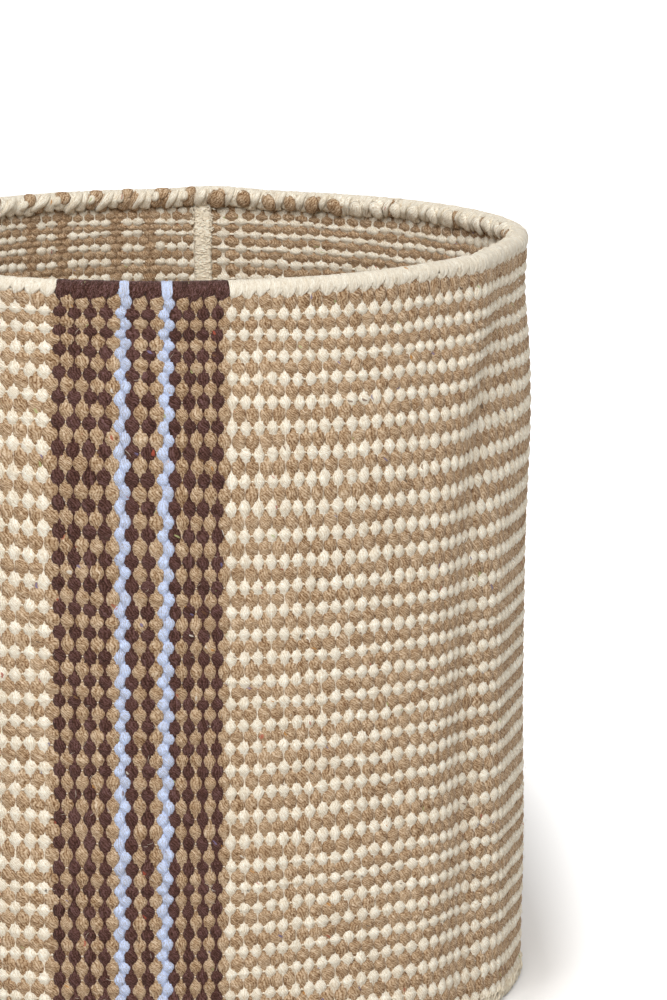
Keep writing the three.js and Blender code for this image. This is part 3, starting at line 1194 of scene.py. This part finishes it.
@dataclass
class Rim(Workshop):
    """The rolled rim: the warps turned over a cord, their ends tucked in on the inside."""

    plies: int = 6
    rings: int = 12
    sides: int = 6
    tooth: float = 3.3
    longest_at: float = 208.0
    longest_reach: float = 27.0
    loops: tuple[float, float] = (96.0, 143.0)
    lower: float = 4.4
    lower_before: float = 172.0
    tan_side: float = 175.0

    def wraps(self, tree: Tree) -> None:
        """Lays the plies of the warps that are turned over the cord.

        Args:
            tree: The tree for yarns on the rim.
        """
        chance = np.random.default_rng(self.grower.seed)
        plans = {Dye.RIM_CREAM_SHADED: Plan(), Dye.BROWN: Plan(), Dye.BLUE: Plan()}
        step = 2.0 / self.plies
        for warp in range(0, CLOTH.warps, 2):
            # Past the stripe the rim's cream warps take the darker copy of the cream, painted shade against
            # the light on the rim's top.
            dye = stripe_dye(warp) if warp < CLOTH.stripe_warps else Dye.RIM_CREAM_SHADED
            felted = dye is Dye.BROWN
            half_pair = (CLOTH.room(warp) + CLOTH.room(warp + 1)) / 2
            tooth = self.tooth + chance.uniform(-1.2, 1.2) + (0.9 if felted else 0.0)
            lean = chance.uniform(0.4, 2.4)
            for ply in range(self.plies):
                from_middle = (ply - (self.plies - 1) / 2) / ((self.plies - 1) / 2)
                blunt = 0.6 if felted else 1.1
                reach = tooth - blunt * abs(from_middle) ** 1.4 + chance.uniform(-0.7, 0.7)
                middle = CLOTH.edge(warp + 0.6)
                wide = half_pair * step
                own_lean = lean + chance.uniform(-0.5, 0.5)
                plans[dye].lay(
                    dye, float(warp + ply * 3.1), (middle, middle - own_lean / CLOTH.radius),
                    (-RIM.quarter - reach, RIM.quarter * chance.uniform(0.35, 0.8)),
                    wide * chance.uniform(0.82, 1.22), chance.uniform(0.5, 0.66),
                    chance.uniform(0.1, 0.3),
                    spread=((ply + 0.5) * step - 0.5) * half_pair * 0.98 + own_lean * 0.5, dive=0.5)
        rows = ((Dye.RIM_CREAM_SHADED, "cream", "cream_yarn", self.palette.rim, 32),
                (Dye.BROWN, "brown", "brown_stripe_cloth", self.palette.felted, 16),
                (Dye.BLUE, "blue", "blue_yarn", self.palette.rim, 8))
        for dye, word, slot, finish, columns in rows:
            self.make(f"rim_wraps_{word}", plans[dye], tree, finish, (self.sides, self.rings, columns), slot,
                      **{"Open End": 1.0, "Tip Size": 0.7})

    def tucked_ends(self, tree: Tree) -> None:
        """Lays the warp ends that are tucked in on the inside of the rim, group by group.

        Args:
            tree: The tree for yarns on the rim.
        """
        chance = np.random.default_rng(self.grower.seed + 1)
        plan = Plan()
        under = Plan()
        for warp in range(0, CLOTH.warps, 2):
            half_pair = (CLOTH.room(warp) + CLOTH.room(warp + 1)) / 2
            middle = CLOTH.edge(warp + 1)
            tan_share = 0.5 if CLOTH.edge(warp) > math.radians(self.tan_side) else 0.3
            dye = Dye.TAN if chance.uniform() < tan_share else Dye.CREAM
            under.lay(dye, warp + 500.0, (middle - 1.2 / CLOTH.radius, middle + 1.6 / CLOTH.radius),
                      (-0.5, RIM.quarter + chance.uniform(3.6, 5.8)), half_pair * 1.1, 0.75, -0.1, dive=0.2)
        angle = CLOTH.edge(0)
        last = angle + 2 * math.pi
        while angle < last:
            degrees = math.degrees(angle)
            long_ones = math.exp(-(((degrees - self.longest_at) / self.longest_reach) ** 2))
            step = (12.5 + 6.5 * long_ones) * chance.uniform(0.86, 1.12)
            lean = 3.4 + 8.2 * long_ones + chance.uniform(-0.8, 1.4)
            loops = self.loops[0] < degrees < self.loops[1]
            low = RIM.quarter + chance.uniform(3.2, 5.6)
            top = chance.uniform(0.2, 1.6)
            lower = self.lower if degrees < self.lower_before else 0.0
            plan.lay(Dye.CREAM, angle * 40.0, (angle, angle + lean / CLOTH.radius), (top, low),
                     chance.uniform(1.5, 2.3) - lower * 0.1, chance.uniform(0.75, 1.0), 0.6, arch=0.5,
                     dive=0.8)
            patch = angle + step * chance.uniform(0.42, 0.52) / CLOTH.radius
            top = chance.uniform(-2.4, -0.4) + lower * 1.3
            plan.lay(Dye.CREAM if loops else Dye.TAN, angle * 40.0 + 100.0,
                     (patch, patch + (lean * 0.5 + lower * 0.8) / CLOTH.radius),
                     (top, RIM.quarter + chance.uniform(-0.6, 1.6) + lower * 0.8),
                     chance.uniform(2.4, 3.8) + lower * 0.2, chance.uniform(0.6, 0.8),
                     0.3 + lower * 0.2, arch=0.35, dive=0.3)
            lump = patch + step * chance.uniform(0.2, 0.3) / CLOTH.radius
            top = RIM.quarter * chance.uniform(0.3, 0.7)
            plan.lay(Dye.CREAM, angle * 40.0 + 200.0, (lump, lump + lean * 0.4 / CLOTH.radius),
                     (top, top + chance.uniform(3.4, 5.0)), chance.uniform(1.3, 2.0),
                     chance.uniform(0.9, 1.2), 0.35, arch=0.6, dive=0.3)
            angle += step / CLOTH.radius
        for name, rows, tips in (("tucked_ends", plan, {"Open End": 0.0, "Tip Size": 0.5}),
                                 ("turned_in_lining", under, {"Open End": 1.0, "Tip Size": 0.9})):
            self.make(name, rows, tree, self.palette.thick, (8, 10, 24), "cream_yarn", ["turned_in_ends"],
                      **tips)

    def cord(self, tree: Tree) -> None:
        """Lays the three strands of the cord inside the rim.

        Args:
            tree: The tree for the cord.
        """
        plan = Plan()
        for strand in range(3):
            plan.add(Dye.CREAM, number=float(strand), turn=strand * 2 * math.pi / 3)
        sizes = {"Strand Radius": 1.25, "Lay Radius": 1.3, "Turns": 62.0}
        self.make("rim_cord_strands", plan, tree, self.palette.rim, (6, 500, 3), "rim_cord_cotton",
                  ["rim_cord"], **sizes)

    def cord_tree(self) -> Tree:
        """Builds the tree for the cord's strands, which turn round each other.

        Returns:
            The tree.
        """
        yarn = YarnTree("CordStrands")
        own, lay, turns = yarn.numbers("Strand Radius", "Lay Radius", "Turns")
        angle = yarn.along * (2 * math.pi)
        turn = yarn.attribute("turn") + yarn.along * turns * (2 * math.pi)
        height = turn.of("SINE") * lay + yarn.across * own + RIM.rise_field(angle) + RIM.centre_height
        depth = turn.of("COSINE") * lay - yarn.outward * own + RIM.centre_depth
        position = place_on_basket(angle, height, depth)
        return yarn.finish(position, yarn.along * 400.0)

    def build(self) -> None:
        """Makes the rim."""
        tree = LaidYarns("RimYarns", Surface.RIM).tree
        self.wraps(tree)
        self.tucked_ends(tree)
        self.cord(self.cord_tree())


@dataclass
class SideSeam(Workshop):
    """The column of cream stitches that closes the tube of cloth at the back."""

    spacing: float = 0.15
    lowest: float = 4.0
    highest: float = 325.0
    tape_step: float = 3.0
    tape_length: float = 9.0

    def build(self) -> None:
        """Sews the seam inside and outside."""
        chance = np.random.default_rng(self.grower.seed + 2)
        plan, base = Plan(), Plan()
        middle = CLOTH.edge((CLOTH.seam_warp + CLOTH.grouped_warp) / 2)
        # The seam's tape and stitches take the lighter copy of the cream, painted light against the shade
        # that falls on them.
        for side, spacing in ((1.0, self.spacing * 3), (-1.0, self.spacing)):
            for height in np.arange(self.lowest, 320.0, self.tape_step):
                base.lay(Dye.RAW, float(height) + side, (middle, middle),
                         (-float(height), -float(height) - self.tape_length), 4.5, 0.55, 0.25, side=side)
            height = self.lowest
            while height < self.highest:
                wider = math.exp(-((322.0 - height) / 12.0) ** 2)
                reach = chance.uniform(0.4, 1.2)
                rise = chance.uniform(-1.4, 1.4)
                shift = chance.uniform(-3.4, 3.4) * (1.0 + wider * 0.7)
                ends = (middle + (shift - reach) / CLOTH.radius, middle + (shift + reach) / CLOTH.radius)
                plan.lay(Dye.RAW, height * 3.7 + side, ends, (-height, -height - rise),
                         chance.uniform(0.25, 0.5), chance.uniform(0.14, 0.22), chance.uniform(0.62, 0.8),
                         chance.uniform(0.05, 0.25), chance.uniform(-0.3, 0.3), 0.2, side=side)
                height += spacing * chance.uniform(0.5, 1.5)
        tree = LaidYarns("SeamStitches", Surface.WALL).tree
        for name, rows, mesh in (("side_seam_stitches", plan, (4, 4, 48)),
                                 ("side_seam_tape", base, (8, 4, 16))):
            self.make(name, rows, tree, self.palette.loose, mesh, "cream_yarn", ["side_seam"],
                      **{"Open End": 0.0, "Tip Size": 0.6})


@dataclass
class Lint(Workshop):
    """Loose fibres that stand off the yarns and soften them."""

    rim_fibres: int = 1300
    wall_fibres: int = 1500
    edge_fibres: int = 480
    seam_fibres: int = 260

    def build(self) -> None:
        """Strews the fibres over the rim, the wall, the seam and the lower edge."""
        chance = np.random.default_rng(self.grower.seed + 4)
        sizes = {"Open End": 0.0, "Tip Size": 0.7}
        plan = Plan()
        for number in range(self.rim_fibres):
            warp = chance.uniform(0.0, CLOTH.warps)
            brown = warp < CLOTH.stripe_warps and not 8 <= warp < 10 and not 14 <= warp < 16
            down = chance.uniform(-RIM.quarter - 4.0, RIM.quarter + 6.0)
            self._fibre(plan, chance, Dye.BROWN if brown else Dye.CREAM, number, CLOTH.edge(warp), down,
                        chance.uniform(1.5, 5.0), chance.uniform(0.2, 1.1), 1.0)
        self.make("rim_lint", plan, LaidYarns("RimLint", Surface.RIM).tree, self.palette.loose, (3, 4, 32),
                  "cream_yarn", **sizes)
        plan = Plan()
        seam = CLOTH.edge((CLOTH.seam_warp + CLOTH.grouped_warp) / 2)
        for number in range(self.wall_fibres):
            side = 1.0 if chance.uniform() < 0.7 else -1.0
            self._fibre(plan, chance, Dye.CREAM, number, chance.uniform(-math.pi, math.pi),
                        -chance.uniform(8.0, 318.0), chance.uniform(1.5, 5.0), chance.uniform(0.1, 0.9), side)
        for number in range(self.edge_fibres):
            length, heading = chance.uniform(4.0, 9.0), chance.normal(2.3, 0.45)
            height = max(0.6 + 5.5 * chance.uniform() ** 1.3, abs(math.sin(heading)) * length / 2)
            # The frayed edge's fibres take the lighter copy of the cream, painted light against the shade
            # near the floor.
            self._fibre(plan, chance, Dye.RAW, number, math.radians(chance.normal(68.0, 20.0)), -height,
                        length, chance.uniform(0.2, 1.2), 1.0, chance.uniform(0.16, 0.34), heading,
                        chance.uniform(-1.4, 0.0))
        for number in range(self.seam_fibres):
            side = 1.0 if chance.uniform() < 0.4 else -1.0
            self._fibre(plan, chance, Dye.CREAM, number, seam + chance.uniform(-2.6, 2.6) / CLOTH.radius,
                        -chance.uniform(6.0, 320.0), chance.uniform(2.5, 6.0), chance.uniform(1.0, 2.2), side)
        self.make("wall_lint", plan, LaidYarns("WallLint", Surface.WALL).tree, self.palette.loose, (3, 4, 32),
                  "cream_yarn", **sizes)

    def _fibre(self, plan: Plan, chance: np.random.Generator, dye: Dye, number: int, angle: float,
               down: float, length: float, arch: float, side: float, half_width: float = 0.07,
               heading: float = 0.0, lift: float = 0.3) -> None:
        """Adds one fibre that lies in any direction and bows away from the cloth.

        Args:
            plan: The plan it goes into.
            chance: Source of chance.
            dye: Its dye.
            number: Its number.
            angle: Where its middle is, from -Y towards +X, in radians.
            down: How far down its middle is, in millimetres.
            length: Its length.
            arch: How far it bows out.
            side: 1 outside the cloth, -1 inside it.
            half_width: Half its width, in millimetres.
            heading: Its direction in radians, from level, or 0 for any.
            lift: How far its ends stand off the cloth, in millimetres.
        """
        heading = heading or chance.uniform(0.0, math.pi)
        across, drop = math.cos(heading) * length / 2, math.sin(heading) * length / 2
        plan.lay(dye, number * 1.37, (angle - across / CLOTH.radius, angle + across / CLOTH.radius),
                 (down - drop, down + drop), half_width, half_width, lift, arch, chance.uniform(-0.6, 0.6),
                 0.3, side=side)


@dataclass
class Bottom(Workshop):
    """The round of the same cloth that closes the bottom, and the whipped, frayed lower edge."""

    widest: float = 144.0
    picks: int = 60
    pick: float = 4.9
    depth_inside: float = 5.6
    thickness: float = 1.15
    cloth_height: float = 2.5
    binding_turns: int = 372

    def reach(self, across: float, sign: float) -> float:
        """How far a warp of the bottom reaches until it meets the binding.

        Args:
            across: The warp's distance from the middle, in millimetres.
            sign: -1 for its end towards -Y, 1 for the other.

        Returns:
            Its Y there, in millimetres.
        """
        end = sign * math.sqrt(max(self.widest ** 2 - across ** 2, 1.0))
        for _ in range(3):
            angle = math.atan2(across, -end)
            radius = CLOTH.outside(angle, 0.0) - self.depth_inside
            end = sign * math.sqrt(max(radius ** 2 - across ** 2, 1.0))
        return end

    def cloth_tree(self) -> Tree:
        """Builds the tree that weaves the flat round.

        Returns:
            The tree.
        """
        yarn = YarnTree("BottomWarps")
        picks, pick_size, thick, level = yarn.numbers("Picks", "Pick", "Thickness", "Level")
        warp, across, low, high = yarn.attributes("number", "across", "low", "high")
        pick = (yarn.along - 0.5) * picks
        wave = ((pick + warp) * math.pi).of("COSINE")
        size = wave.of("ABSOLUTE")
        grain = noise((warp * 7.31, pick * 0.55, yarn.seed), 0.0)
        sway = noise((warp * 0.2, pick * 0.16, yarn.seed + 3.0), 1.0)
        heave = noise((warp * 0.2, pick * 0.3, yarn.seed + 5.0), 1.0)
        run = -(pick * pick_size + heave * 2.0)
        held = run.held(low, high)
        inside = (held - run).of("ABSOLUTE").of("LESS_THAN", 0.0001)
        half_width = (size * 0.94 + 1.0) * (CLOTH.pitch / 2) * inside
        half_depth = (1.0 + (1.0 - size) * 0.2) * thick * inside
        x = across + (sway * 2.0 + grain * 0.3) * inside - yarn.across * half_width
        z = level + wave * (level - thick) * -1.0 - yarn.outward * half_depth + grain * 0.2 * inside
        z = z.of("MAXIMUM", 0.02)
        position = gather(x * MM, held * MM, z * MM)
        return yarn.finish(position, pick, inside)

    def cloth(self) -> None:
        """Weaves the round in two halves."""
        tree = self.cloth_tree()
        count = math.floor(2 * self.widest / CLOTH.pitch)
        for half, word in enumerate(("left", "right")):
            plan = Plan()
            for warp in range(half * count // 2, (half + 1) * count // 2):
                across = (warp - (count - 1) / 2) * CLOTH.pitch
                dye = Dye.CREAM if warp % 2 == 0 else Dye.TAN
                plan.add(dye, number=float(warp), across=across, low=self.reach(across, -1.0),
                         high=self.reach(across, 1.0))
            sizes = {"Picks": float(self.picks), "Pick": self.pick, "Thickness": self.thickness,
                     "Level": self.cloth_height}
            self.make(f"bottom_cloth_{word}", plan, tree, self.palette.cloth,
                      (6, self.picks * 3, len(plan.rows)), "cream_and_tan_cloth", ["base_cloth"], **sizes)

    def binding_tree(self) -> Tree:
        """Builds the tree for the turns of yarn round the lower edge.

        Returns:
            The tree.
        """
        yarn = YarnTree("EdgeBinding")
        turns = yarn.number("Turns")
        number, top, own, lean = yarn.attributes("number", "top", "thick", "lean")
        turn = yarn.along * (2 * math.pi) + 1.0
        shut = yarn.closing()
        wobble = noise((number * 3.1, yarn.along * 4.0, yarn.seed), 1.0)
        cosine, sine = turn.of("COSINE"), turn.of("SINE")
        flat_c = cosine.of("SIGN") * cosine.of("ABSOLUTE").of("POWER", 0.7)
        flat_s = sine.of("SIGN") * sine.of("ABSOLUTE").of("POWER", 0.7)
        out = yarn.outward * own * shut
        depth = flat_c * (2.2 + out) * -1.0 + 6.0 + wobble * 0.6
        half = (top - 2.0) / 2.0
        height = flat_s * (half + out) + top / 2.0 + wobble * 0.3
        height = height.of("MAXIMUM", 0.02)
        angle = (number + yarn.along * lean) / turns * (2 * math.pi)
        angle = angle + (yarn.across * own * shut * 1.25 + wobble * 0.9) / CLOTH.radius
        position = place_on_basket(angle, height, depth)
        return yarn.finish(position, yarn.along * 5.0, shut)

    def binding(self) -> None:
        """Whips the lower edge."""
        chance = np.random.default_rng(self.grower.seed + 3)
        plan = Plan()
        for turn in range(self.binding_turns):
            plan.add(Dye.CREAM, number=float(turn), top=chance.uniform(2.4, 4.2),
                     thick=chance.uniform(0.4, 0.75), lean=chance.uniform(0.6, 1.6))
        self.make("edge_binding", plan, self.binding_tree(), self.palette.rim, (6, 14, 24), "cream_yarn",
                  ["base_binding"], **{"Turns": float(self.binding_turns)})

    def build(self) -> None:
        """Makes the bottom."""
        self.cloth()
        self.binding()


@dataclass
class Studio:
    """Camera, soft light and pale floor."""

    camera_place: tuple[float, float, float] = (-0.00236, -2.9322, 0.7295)
    camera_turn: float = -1.347
    camera_tilt: float = 10.0
    focal_pixels: float = 6748.9
    picture_height: float = 1000.0
    floor_size: float = 12.0
    # How far the painted shadow on the floor is stretched behind the basket: distances behind it are scaled
    # by this.
    painted_shadow_stretch: float = 0.15

    def camera(self) -> None:
        """Puts the camera at the photograph's angle."""
        data = bpy.data.cameras.new("camera")
        data.sensor_width = 36.0
        data.lens = self.focal_pixels * data.sensor_width / self.picture_height
        data.clip_end = 50.0
        camera = bpy.data.objects.new("camera", data)
        upright = Matrix.Rotation(math.radians(90.0 - self.camera_tilt), 4, "X")
        heading = Matrix.Rotation(math.radians(self.camera_turn), 4, "Z")
        camera.matrix_world = Matrix.Translation(self.camera_place) @ heading @ upright
        bpy.context.scene.collection.objects.link(camera)
        bpy.context.scene.camera = camera

    def lamp(self, name: str, place: tuple[float, float, float], aim: tuple[float, float, float],
             size: float, power: float) -> None:
        """Hangs one soft lamp.

        Args:
            name: Name of the lamp.
            place: Where it hangs.
            aim: What it shines at.
            size: Side of its square.
            power: Its power in watts.
        """
        data = bpy.data.lights.new(name, "AREA")
        data.shape = "SQUARE"
        data.size = size
        data.energy = power
        lamp = bpy.data.objects.new(name, data)
        direction = Vector(aim) - Vector(place)
        turned = direction.to_track_quat("-Z", "Y").to_matrix().to_4x4()
        lamp.matrix_world = Matrix.Translation(place) @ turned
        bpy.context.scene.collection.objects.link(lamp)

    def world(self) -> None:
        """Gives the even light from all round, and white behind the object."""
        world = bpy.data.worlds.new("studio")
        bpy.context.scene.world = world
        tree = clear_nodes(world)
        light = add_node(tree, "ShaderNodeBackground", {"Color": (1.0, 0.985, 0.965, 1.0), "Strength": 0.49})
        white = add_node(tree, "ShaderNodeBackground", {"Color": (1.0, 1.0, 1.0, 1.0), "Strength": 1.0})
        add_node(tree, "ShaderNodeOutputWorld", {"Surface": mix_for_sight(tree, white, light)})

    def floor(self) -> None:
        """Lays the floor, which keeps the object's shadow. For the camera it also glows, least beside the
        basket and along a band stretched behind it, which paints a soft shadow there.
        """
        half = self.floor_size
        made = bpy.data.meshes.new("floor")
        made.from_pydata([(-half, -half, 0.0), (half, -half, 0.0), (half, half, 0.0), (-half, half, 0.0)], [],
                         [(0, 1, 2, 3)])
        floor = bpy.data.objects.new("floor", made)
        bpy.context.scene.collection.objects.link(floor)
        paint = bpy.data.materials.new("floor_paint")
        tree = clear_nodes(paint)
        across, back, _ = split(tree, add_node(tree, "ShaderNodeTexCoord").outputs["Object"])
        # Painted shadow: the camera-only glow is weakest beside the basket and along a band stretched behind
        # it, so the floor looks shaded there.
        shaped = back.of("MAXIMUM", 0.0) * self.painted_shadow_stretch + back.of("MINIMUM", 0.0)
        painted_shadow_reach = (across * across + shaped * shaped).of("SQRT")
        away = (across * across + back * back).of("SQRT") * 0.25
        ramp = add_node(tree, "ShaderNodeMapRange", {
            "Value": painted_shadow_reach.of("MAXIMUM", away), "From Min": 0.161, "From Max": 0.2085, "To Min": 0.05,
            "To Max": 0.75})
        glow_with_painted_shadow = add_node(tree, "ShaderNodeEmission", {"Strength": ramp.outputs[0]})
        bright = add_node(tree, "ShaderNodeBsdfDiffuse", {"Color": (0.97, 0.96, 0.95, 1.0)})
        both = add_node(tree, "ShaderNodeAddShader", {0: bright.outputs[0], 1: glow_with_painted_shadow.outputs[0]})
        matt = add_node(tree, "ShaderNodeBsdfDiffuse", {"Color": (0.62, 0.61, 0.6, 1.0)})
        add_node(tree, "ShaderNodeOutputMaterial", {"Surface": mix_for_sight(tree, both, matt)})
        made.materials.append(paint)

    def build(self) -> None:
        """Sets up the studio."""
        bpy.context.scene.view_settings.view_transform = "Standard"
        self.camera()
        self.world()
        self.floor()
        self.lamp("key_light", (-0.75, -3.65, 3.5), (0.0, 0.0, 0.15), 3.0, 168.0)
        self.lamp("fill_light", (2.6, -2.2, 2.4), (0.0, 0.0, 0.15), 2.0, 6.0)


def mix_for_sight(tree: Tree, seen: bpy.types.Node, other: bpy.types.Node) -> Socket:
    """Shows one shader to the camera and to mirrors, and another to everything else.

    Args:
        tree: Node tree to write it in.
        seen: The shader that is seen.
        other: The other shader.

    Returns:
        Socket with the mixed shader.
    """
    rays = add_node(tree, "ShaderNodeLightPath").outputs
    sight = Field(tree, rays["Is Camera Ray"])
    for name in ("Is Glossy Ray", "Is Transmission Ray"):
        sight = sight.of("MAXIMUM", Field(tree, rays[name]))
    shaders = {0: sight, 1: other.outputs[0], 2: seen.outputs[0]}
    return add_node(tree, "ShaderNodeMixShader", shaders).outputs[0]


def main() -> None:
    """Builds the studio and the basket, piece by piece."""
    logging.basicConfig(level=logging.INFO, format="%(name)s: %(message)s")
    Studio().build()
    palette = Palette(ShaderGroups())
    grower = Grower()
    fitting = Fitting()
    for assembly in (WovenWall, Weft, Rim, SideSeam, Lint, Bottom):
        assembly(grower, fitting, palette).build()


if __name__ == "__main__":
    main()
